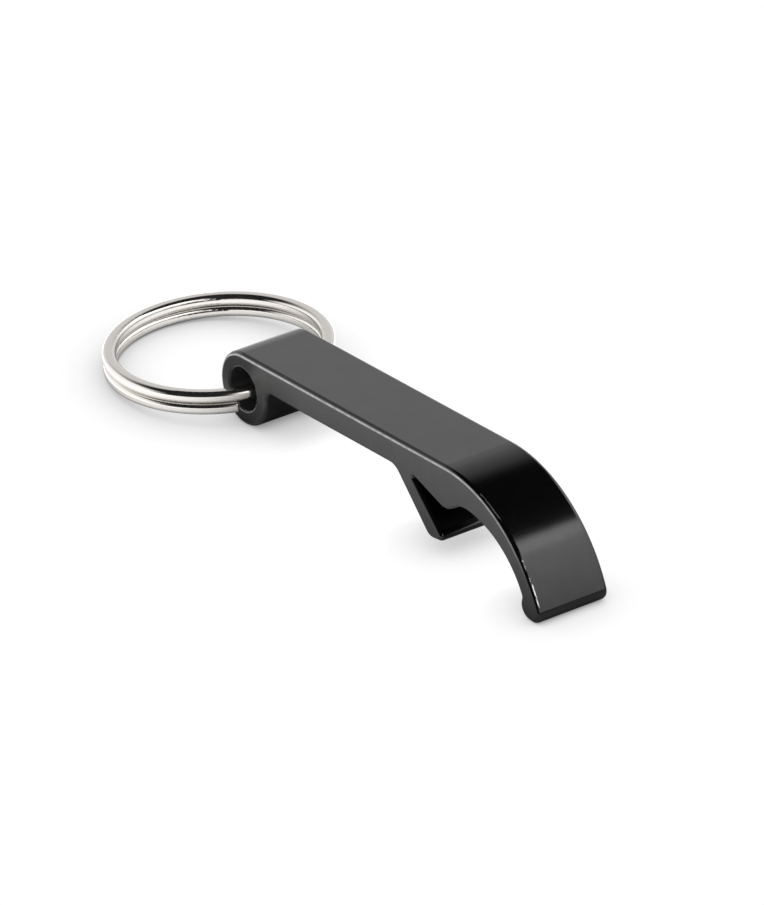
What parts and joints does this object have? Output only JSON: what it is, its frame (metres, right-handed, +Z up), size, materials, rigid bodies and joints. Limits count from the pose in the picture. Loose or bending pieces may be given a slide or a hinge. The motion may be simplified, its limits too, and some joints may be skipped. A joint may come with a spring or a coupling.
{
  "type": "keychain bottle opener",
  "caption": "Keychain bottle opener: flat bar with an eye, a prying hook and a curved nose, hung on a split ring.",
  "frame": {"origin": "on the table the opener lies on, under the middle of the whole object", "axes": "+X along the bar from the ring to the nose, +Y across the width, +Z up from the table"},
  "size_m": [0.0754, 0.025, 0.0114],
  "materials": {
    "black_anodised": "satin black anodised",
    "nickel_plate": "polished nickel plate on spring steel"
  },
  "bodies": {
    "opener": {"opener_body": "black_anodised"},
    "ring": {"split_ring": "nickel_plate"}
  },
  "joints": [
    {"name": "ring_swing", "type": "hinge", "parent": "opener", "child": "ring", "pos_m": [-0.01441, 0, 0.00415], "axis": [0, 1, 0], "range_deg": [-176, 167]}
  ]
}
